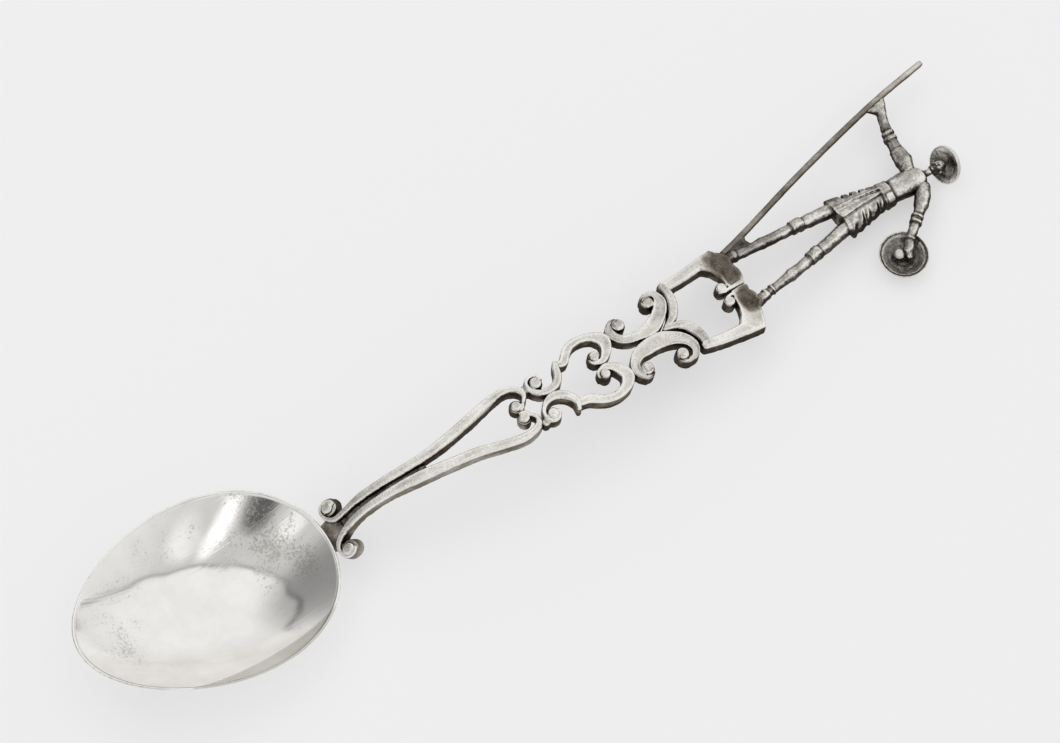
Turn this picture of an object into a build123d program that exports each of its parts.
from build123d import *

import math
import os

# Silver souvenir spoon, millimetres, lying on its back on z = 0 with the bowl open upwards.
# Everything is drawn in the spoon's working frame: +X from the bowl to the figure, +Y to the
# spoon's left, +Z up, and x = 0 where the stem bars meet the bowl. ORIGIN then moves it so that
# the origin is the centre of the finished object's footprint.
ORIGIN = Vector(34.11, 2.15, 0)

# Bowl: an egg-shaped rim, wider towards the handle, with its tip raised
BOWL_CENTRE = (-18.8, 2.05)
BOWL_HALF_LENGTH = 18.15
BOWL_HALF_WIDTH = 13.1
BOWL_EGG = 0.14  # share by which the handle end is wider and the tip narrower
BOWL_DEPTH = 7.2
BOWL_WALL = 0.6
BOWL_TILT = 9.0  # degrees, tip up
BOWL_YAW = -4.0  # degrees, tip to the left
BOWL_FULLNESS = 2.2  # power of its depth curve: 2 is a parabola, more is fuller
BOWL_LEVELS = (0.0, 0.2, 0.4, 0.6, 0.78, 0.9, 0.97, 1.0)  # depth shares of its sections
BOWL_BOTTOM = 0.12  # size share of the flat spot that closes it

# Handle: its upper side seen from the spoon's right, and its thickness
HANDLE_TOP = [(-3, 3.6), (0, 5.4), (3, 7.3), (8, 8.9), (16, 9.7), (25, 10.0), (32.5, 9.8)]
HANDLE_TOP += [(41, 8.8), (51, 7.4), (62.7, 5.9), (68, 5.3)]
HANDLE_THICKNESS = 2.1
SLOPE_EXTRA = 0.5  # vertical thickness added where the stem rises steeply from the bowl
WEB_SINK = 1.2  # how far the solder webs lie below the handle's top

BUTTON_HEIGHT = 0.25  # the raised button on each volute eye

# Figure
HAT_RADIUS = 2.85
HAT_TILT = 30.0  # degrees, front brim up
HAT_CENTRE = (98.4, 1.0, 2.5)
SHIELD_RADIUS = 3.4
SHIELD_CENTRE = (86.0, -6.8, 2.2)
SHIELD_DEPTH = 1.1
SHEET = 0.45  # thickness of the hat and the shield
LANCE_RADIUS = 0.42
LANCE = [(64.9, 5.9, 4.6), (84.6, 11.3, 3.9), (104.9, 15.25, 3.3)]


# Scrolls in plan. Each has a list of (x, y, width) stations along its ribbon, and its volute eyes
# as (x, y, radius, button radius).
SCROLLS = {
    "left_stem_bar": {
        "ribbon": [
            (-0.2, 3.9, 0.5), (0.05, 2.9, 0.6), (0.8, 2.15, 0.8), (2.2, 2.05, 0.9),
            (4.5, 2.2, 1.1), (8, 2.05, 1.2), (14, 1.8, 1.3), (18, 2.1, 1.5), (22, 2.7, 1.5),
            (25, 3.3, 1.35), (27.5, 3.6, 1.1), (29, 3.3, 1.0), (30.0, 2.4, 1.0), (29.9, 1.5, 0.9),
            (29.0, 0.8, 0.6),
        ],
        "eyes": [(0.8, 4.05, 1.2, 0.6), (28.3, 0.85, 0.95, 0.62)],
    },
    "right_stem_bar": {
        "ribbon": [
            (-0.8, -2.0, 0.5), (-0.7, -1.1, 0.65), (-0.1, -0.4, 0.8), (1, 0.1, 0.9),
            (2.6, 0.4, 1.0), (4.5, 0.5, 1.0), (8, 0.25, 1.05), (14, -0.6, 1.3), (18, -1.1, 1.4),
            (21, -1.8, 1.3), (24, -2.75, 1.2), (26.5, -3.35, 1.15), (28.2, -3.35, 1.0),
            (29.5, -2.8, 1.0), (29.8, -1.8, 0.8), (29.2, -1.1, 0.6),
        ],
        "eyes": [(0.1, -2.1, 1.2, 0.65), (28.3, -1.1, 0.95, 0.62)],
    },
    "left_shoulder_scroll": {
        "ribbon": [
            (30.4, 2.5, 0.9), (31.1, 1.6, 0.9), (32.0, 0.8, 0.9), (33.2, 0.5, 1.0),
            (34.5, 0.75, 1.1), (35.4, 1.6, 1.1), (35.8, 2.6, 1.0), (36.1, 3.3, 0.8),
        ],
        "eyes": [(32.3, 2.3, 0.95, 0.6)],
    },
    "right_shoulder_scroll": {
        "ribbon": [
            (30.5, -3.0, 0.9), (30.8, -1.9, 0.8), (31.7, -0.95, 0.75), (33, -0.5, 1.1),
            (34.3, -0.85, 1.2), (35.2, -1.8, 1.1), (35.5, -2.8, 1.0), (35.2, -3.7, 0.7),
        ],
        "eyes": [(31.85, -2.6, 1.1, 0.65)],
    },
    "left_pear_scroll": {
        "ribbon": [
            (36.4, 3.0, 0.9), (37.3, 3.1, 1.2), (38.3, 4.0, 1.25), (39.4, 4.6, 1.15),
            (41, 4.7, 1.1), (42.5, 4.2, 1.3), (43.5, 3.2, 1.8), (43.4, 2.2, 1.6), (42.8, 1.3, 1.3),
            (41.8, 0.55, 1.0), (40.8, 0.8, 0.6),
        ],
        "eyes": [(41.1, 1.55, 0.95, 0.65)],
    },
    "right_pear_scroll": {
        "ribbon": [
            (36.0, -3.1, 1.0), (37.2, -3.3, 1.3), (38.4, -4.1, 1.25), (39.6, -4.6, 1.2),
            (41, -4.7, 1.2), (42.5, -4.1, 1.5), (43.4, -3.0, 1.8), (43.2, -1.9, 1.6),
            (42.4, -0.9, 1.2), (41.5, -0.4, 1.0), (40.5, -0.8, 0.6),
        ],
        "eyes": [(40.95, -1.3, 0.9, 0.6)],
    },
    "left_c_scroll": {
        "ribbon": [
            (45.4, 4.5, 0.6), (44.95, 3.5, 1.2), (45.4, 2.3, 1.2), (46.5, 1.5, 1.3), (48, 1.25, 1.4),
            (50, 1.35, 2.1), (51.7, 2.2, 2.0), (52.9, 3.3, 1.8), (53.5, 4.5, 1.4), (53.2, 5.5, 0.9),
            (52.2, 5.8, 0.6),
        ],
        "eyes": [(46.5, 3.85, 1.05, 0.8), (51.8, 4.7, 1.05, 0.75)],
    },
    "right_c_scroll": {
        "ribbon": [
            (45.3, -4.5, 0.6), (44.85, -3.3, 1.2), (45.2, -2.1, 1.3), (46.4, -1.15, 1.7),
            (48, -0.85, 2.1), (50, -0.8, 2.3), (51.9, -1.5, 1.9), (53.2, -2.7, 1.5),
            (53.5, -4.0, 1.2), (52.9, -5.0, 0.9), (51.9, -5.3, 0.6),
        ],
        "eyes": [(46.2, -3.5, 1.1, 0.8), (51.5, -4.05, 1.1, 0.75)],
    },
    "left_outer_band": {
        "ribbon": [
            (54.9, 5.6, 1.1), (55.0, 4.5, 1.3), (54.7, 3.1, 1.5), (53.85, 1.75, 1.7),
            (52.9, 0.85, 1.2), (51.8, 0.45, 0.6),
        ],
        "eyes": [],
    },
    "right_outer_band": {
        "ribbon": [
            (51.8, 0.1, 0.6), (53, -0.1, 1.2), (54.2, -0.8, 1.6), (54.85, -2.0, 2.0),
            (55.1, -3.3, 1.6), (54.9, -4.5, 1.3),
        ],
        "eyes": [],
    },
}

# Solder webs in plan: the heel under the bowl's end, and the seam between the stem bars
HEEL = [(-2.9, 1.3), (-2.6, 0.3), (-1.8, -0.6), (-0.6, -1.0), (0.9, 0.4), (0.9, 1.7), (-0.2, 3.2)]
HEEL += [(-1.8, 3.2), (-2.6, 2.4)]
SEAM = [(0.9, 1.9), (14.8, 1.6), (14.8, -0.2), (7, 0.3), (0.9, 0.2)]

# The frame's two brackets in plan: corner points of the side bar and the end bar, and the volute
BRACKETS = {
    "left_frame_bracket": {
        "outline": [
            (54.9, 6.1), (63.4, 7.0), (64.3, 5.8), (65.1, 4.4), (65.2, 2.6), (64.8, 0.5),
            (61.8, 0.4), (61.8, 2.2), (62.4, 2.9), (61.8, 4.3), (61.0, 5.1), (55.6, 4.7),
        ],
        "eyes": [(61.7, 1.4, 0.95, 0.75)],
    },
    "right_frame_bracket": {
        "outline": [
            (54.6, -5.1), (63.2, -6.4), (63.9, -5.0), (64.7, -3.4), (65.0, -1.6), (64.8, 0.6),
            (61.9, 0.5), (61.6, -1.6), (62.2, -2.2), (61.6, -3.2), (60.6, -4.4), (55.5, -3.9),
        ],
        "eyes": [(61.5, -0.8, 0.9, 0.65)],
    },
}
# Neighbours that a scroll is trimmed against, so that soldered faces meet and nothing overlaps
TRIMMED_BY = {
    "right_stem_bar": ["left_stem_bar"],
    "left_shoulder_scroll": ["left_stem_bar"],
    "right_shoulder_scroll": ["right_stem_bar", "left_shoulder_scroll"],
    "left_pear_scroll": ["left_shoulder_scroll"],
    "right_pear_scroll": ["right_shoulder_scroll", "left_pear_scroll"],
    "left_c_scroll": ["left_pear_scroll"],
    "right_c_scroll": ["right_pear_scroll", "left_c_scroll"],
    "left_outer_band": ["left_c_scroll", "right_c_scroll"],
    "right_outer_band": ["left_c_scroll", "right_c_scroll", "left_outer_band"],
    "left_frame_bracket": ["left_c_scroll", "left_outer_band"],
    "right_frame_bracket": ["right_c_scroll", "right_outer_band", "left_frame_bracket"],
}

# Limbs and trunk of the figure: (x, y, z, radius) stations for round ones
LEFT_LEG = [
    (64.9, 4.9, 4.4, 0.85), (66.2, 4.9, 4.4, 0.8), (67.6, 4.7, 4.3, 0.7), (73.8, 4.3, 3.8, 0.78),
    (76, 4.2, 3.7, 0.95), (78, 4.0, 3.5, 0.92), (82.8, 3.6, 3.1, 1.05),
]
RIGHT_LEG = [
    (65.0, -2.4, 4.4, 0.85), (66.5, -2.1, 4.4, 0.8), (68, -1.9, 4.2, 0.65), (73.4, -1.1, 3.8, 0.78),
    (75.5, -0.7, 3.7, 0.97), (77.5, -0.4, 3.5, 0.92), (82.8, 0.7, 3.1, 1.05),
]
# (x, y, z, half width, half height) of the kilt and trunk
TRUNK = [
    (81.9, 1.9, 2.9, 3.25, 1.5), (85, 1.9, 2.7, 2.6, 1.45), (89.4, 1.75, 2.4, 1.75, 1.25),
    (92.4, 1.65, 2.2, 1.9, 1.45), (94.2, 1.6, 2.2, 2.1, 1.3), (95.1, 1.45, 2.3, 1.2, 0.9),
]
NECK = [(94.9, 1.45, 2.35, 0.55), (96.4, 1.3, 2.55, 0.5)]
RAISED_ARM = [
    (93.9, 3.3, 2.5, 1.0), (94.2, 4.8, 2.6, 1.15), (94.3, 6.4, 2.7, 0.95), (94.6, 8.3, 2.8, 0.92),
    (95.0, 9.7, 2.9, 0.76), (95.6, 11.3, 3.0, 0.7), (96.1, 12.5, 3.2, 0.85),
]
RAISED_HAND = (96.3, 13.3, 3.35)
HAND_SIZE = (2.3, 1.5, 1.1)
LOWERED_ARM = [
    (94.1, -0.2, 2.4, 0.95), (92.9, -1.5, 2.5, 1.05), (91.5, -2.8, 2.7, 0.85),
    (90.1, -3.8, 2.9, 0.82), (88.7, -5.0, 3.1, 0.72), (87.4, -5.9, 3.0, 0.68),
]
LOWERED_HAND = [(87.4, -5.9, 3.0, 0.6), (86.6, -6.8, 2.7, 0.55), (86.4, -7.7, 1.9, 0.38)]
HEAD_CENTRE = (97.35, 1.15, 2.55)
HEAD_SIZE = (1.6, 0.95, 1.05)
NOSE_LENGTH = 0.3
KNOB_CENTRE = (85.45, -6.5)
KNOB_RADIUS = 0.62
KNOB_TOP = 2.9
LANCE_FOOT = [(64.6, 4.4), (64.6, 6.2), (69.4, 7.3), (68.8, 5.9), (69.4, 4.9), (68.0, 4.4)]
LANCE_FOOT_Z = 4.1
LANCE_FOOT_THICKNESS = 0.8

OUTLINE_STEPS = 4  # outline points per ribbon station


def egg(share):
    """Closed spline of the bowl's rim, shrunk to a share of its size, in the rim's own plane."""
    points = []
    for i in range(28):
        angle = 2 * math.pi * i / 28
        x = BOWL_HALF_LENGTH * share * math.cos(angle)
        y = BOWL_HALF_WIDTH * share * math.sin(angle) * (1 + BOWL_EGG * math.cos(angle))
        points.append((x, y))
    return Wire([Edge.make_spline([Vector(*p) for p in points], periodic=True)])


def bowl_form(inset):
    """Solid of the bowl's outer form, or of its hollow when inset by the wall."""
    wires = []
    depth = BOWL_DEPTH - inset
    for level in BOWL_LEVELS:
        share = max((1 - level) ** (1 / BOWL_FULLNESS), BOWL_BOTTOM)
        share *= 1 - inset / BOWL_HALF_WIDTH
        wires.append(Pos(0, 0, -depth * level) * egg(share))
    if inset:
        wires.insert(0, Pos(0, 0, 1) * egg(1 - inset / BOWL_HALF_WIDTH))
    return Solid.make_loft(wires)


def bowl():
    """Raised bowl, placed tip up with its lowest point on z = 0."""
    shell = bowl_form(0) - bowl_form(BOWL_WALL)
    shell = Rot(0, BOWL_TILT, 0) * Rot(0, 0, BOWL_YAW) * shell
    low = shell.bounding_box().min.Z
    return Pos(*BOWL_CENTRE, -low) * shell


def handle_slab(sink=0.0, lift=0.0):
    """Solid between the handle's top and bottom profiles, as wide as the handle and more."""
    top = [(x, z - sink + lift) for x, z in HANDLE_TOP]
    low = []
    for x, z in HANDLE_TOP:
        steep = SLOPE_EXTRA if x < 5 else 0
        low.append((x, z - HANDLE_THICKNESS - steep))
    upper = Spline(*top)
    lower = Spline(*low)
    edges = [upper, lower, Line(upper @ 0, lower @ 0), Line(upper @ 1, lower @ 1)]
    face = Plane.XZ * make_face(edges)
    return extrude(face, amount=12, both=True)


def ribbon(stations):
    """Plan face of a bar that follows a spline through the stations at the given widths."""
    path = Spline(*[(x, y) for x, y, _ in stations])
    lengths = [0.0]
    for (x0, y0, _), (x1, y1, _) in zip(stations, stations[1:]):
        lengths.append(lengths[-1] + math.hypot(x1 - x0, y1 - y0))
    left, right = [], []
    count = OUTLINE_STEPS * (len(stations) - 1)
    for i in range(count + 1):
        share = i / count
        here = share * lengths[-1]
        k = max(j for j in range(len(lengths) - 1) if lengths[j] <= here + 1e-9)
        part = (here - lengths[k]) / (lengths[k + 1] - lengths[k])
        width = stations[k][2] * (1 - part) + stations[k + 1][2] * part
        point = path @ share
        side = (path % share).rotate(Axis.Z, 90) * (width / 2)
        left.append(point + side)
        right.append(point - side)
    sides = [Spline(*left), Spline(*right)]
    ends = [Line(left[0], right[0]), Line(left[-1], right[-1])]
    return make_face(sides + ends)


def plan_face(spec):
    """Plan face of a scroll or bracket: its bar with a disc at each volute eye."""
    if "ribbon" in spec:
        face = ribbon(spec["ribbon"])
    else:
        face = make_face(Polyline(*spec["outline"], close=True))
    for x, y, radius, _ in spec["eyes"]:
        face += Pos(x, y) * Circle(radius)
    return face


def handle_piece(face, eyes, slab, raised):
    """Cut a plan face out of the handle's slab and raise a button on each eye."""
    solid = extrude(face, amount=20) & slab
    for x, y, _, button in eyes:
        stud = Pos(x, y) * Cylinder(button, 20, align=(Align.CENTER, Align.CENTER, Align.MIN))
        solid += stud & raised
    return solid


def handle():
    """All the scrolls and brackets, as a dictionary of solids."""
    slab = handle_slab()
    raised = handle_slab(lift=BUTTON_HEIGHT)
    specs = {**SCROLLS, **BRACKETS}
    faces = {name: plan_face(spec) for name, spec in specs.items()}
    pieces = {}
    for name, spec in specs.items():
        face = faces[name]
        for other in TRIMMED_BY.get(name, []):
            face -= faces[other]
        faces[name] = max(face.faces(), key=lambda f: f.area)
        pieces[name] = handle_piece(faces[name], spec["eyes"], slab, raised)
    return pieces, faces


def solder_web(outline, faces):
    """Plate sunk below the handle's top that fills a gap between its neighbours' faces."""
    face = make_face(Polyline(*outline, close=True))
    for other in faces:
        face -= other
    face = max(face.faces(), key=lambda f: f.area)
    return extrude(face, amount=20) & handle_slab(sink=WEB_SINK)


def limb(stations):
    """Round limb lofted through circles that stand square to the line between stations."""
    centres = [Vector(x, y, z) for x, y, z, _ in stations]
    sections = []
    for i, (_, _, _, radius) in enumerate(stations):
        ahead = centres[min(i + 1, len(centres) - 1)]
        behind = centres[max(i - 1, 0)]
        plane = Plane(origin=centres[i], z_dir=ahead - behind)
        sections.append((plane * Circle(radius)).wire())
    return Solid.make_loft(sections)


def trunk():
    """Kilt, waist and chest: ellipses lofted along the figure's length."""
    sections = []
    for x, y, z, half_width, half_height in TRUNK:
        plane = Plane(origin=(x, y, z), x_dir=(0, 1, 0), z_dir=(1, 0, 0))
        sections.append((plane * Ellipse(half_width, half_height)).wire())
    return Solid.make_loft(sections)


def warrior_body():
    """The main casting: legs, kilt, chest and neck."""
    return trunk() + limb(LEFT_LEG) + limb(RIGHT_LEG) + limb(NECK)


def warrior_head():
    """Plain egg-shaped head, face up, with a small nose."""
    head = Pos(*HEAD_CENTRE) * scale(Sphere(1), by=HEAD_SIZE)
    nose = Cone(0.2, 0.08, NOSE_LENGTH + 0.3, align=(Align.CENTER, Align.CENTER, Align.MIN))
    x, y, z = HEAD_CENTRE
    return head + Pos(x, y, z + HEAD_SIZE[2] - 0.3) * nose


def raised_left_arm():
    """Arm with a flat hand closed round the lance."""
    hand = Pos(*RAISED_HAND) * Rot(0, 0, 14) * scale(Sphere(0.5), by=HAND_SIZE)
    return limb(RAISED_ARM) + hand


def lowered_right_arm():
    """Arm that reaches down into the shield."""
    return limb(LOWERED_ARM) + limb(LOWERED_HAND)


def dish(radius, depth):
    """Round sheet dish with a rolled rim, hollow side up, rim at z = 0."""
    outer = [(0, -depth), (radius * 0.6, -depth * 0.72), (radius - SHEET / 2, -SHEET / 2)]
    inner = [(0, -depth + SHEET), (radius * 0.55, -depth * 0.72 + SHEET), (radius - SHEET, 0)]
    section = make_face(
        [
            Spline(*outer, tangents=[(1, 0), (1, 0.6)]),
            Line(outer[-1], (radius, 0)),
            Line((radius, 0), inner[-1]),
            Spline(*inner, tangents=[(1, 0), (1, 0.6)]),
            Line(inner[0], outer[0]),
        ]
    )
    return revolve(Plane.XZ * section, Axis.Z)


def hat():
    """Dished round hat, its hollow side towards the feet and tipped up."""
    return Pos(*HAT_CENTRE) * Rot(0, -(90 - HAT_TILT), 0) * dish(HAT_RADIUS, 1.0)


def shield():
    """Round shield, hollow side up."""
    return Pos(*SHIELD_CENTRE) * dish(SHIELD_RADIUS, SHIELD_DEPTH)


def shield_knob():
    """Peg with a round head that the hand closes round, standing on the shield."""
    x, y = KNOB_CENTRE
    low = SHIELD_CENTRE[2] - SHIELD_DEPTH + SHEET / 2
    peg = Pos(x, y, low) * Cylinder(0.32, KNOB_TOP - low, align=(Align.CENTER,) * 2 + (Align.MIN,))
    head = Pos(x, y, KNOB_TOP - 0.25) * Cylinder(KNOB_RADIUS, 0.5)
    return peg + fillet(head.edges(), 0.15)


def lance():
    """Thin rod with a slight bow."""
    path = ThreePointArc(*LANCE)
    plane = Plane(origin=path @ 0, z_dir=path % 0)
    return sweep(plane * Circle(LANCE_RADIUS), path)


def lance_foot():
    """Small web between the left foot and the lance's lower end."""
    face = make_face(Polyline(*LANCE_FOOT, close=True))
    return Pos(0, 0, LANCE_FOOT_Z) * extrude(face, amount=LANCE_FOOT_THICKNESS)


def biggest(shape):
    """The largest solid of a shape, free of slivers left by a cut."""
    return max(shape.solids(), key=lambda s: s.volume)


def spoon():
    """Every node of the spoon in the working frame."""
    parts, faces = handle()
    parts["bowl"] = bowl()
    bars = [faces["left_stem_bar"], faces["right_stem_bar"]]
    heel = solder_web(HEEL, bars)
    parts["bowl_heel"] = biggest(heel - parts["bowl"])
    parts["stem_solder_seam"] = biggest(solder_web(SEAM, bars))
    body = warrior_body()
    brackets = parts["left_frame_bracket"] + parts["right_frame_bracket"]
    parts["warrior_body"] = biggest(body - brackets)
    parts["warrior_head"] = biggest(warrior_head() - body)
    parts["lance"] = biggest(lance() - brackets - body)
    parts["raised_left_arm"] = biggest(raised_left_arm() - body - parts["lance"])
    arm = lowered_right_arm() - body
    parts["shield_knob"] = shield_knob()
    parts["lowered_right_arm"] = biggest(arm - parts["shield_knob"])
    parts["shield"] = biggest(shield() - parts["shield_knob"] - parts["lowered_right_arm"])
    parts["hat"] = biggest(hat() - parts["warrior_head"])
    foot = lance_foot() - body - parts["lance"] - brackets
    parts["lance_foot"] = biggest(foot)
    return parts


def main():
    os.makedirs("parts", exist_ok=True)
    for name, shape in spoon().items():
        export_step(Pos(*(-ORIGIN)) * shape, f"parts/{name}.step")


main()
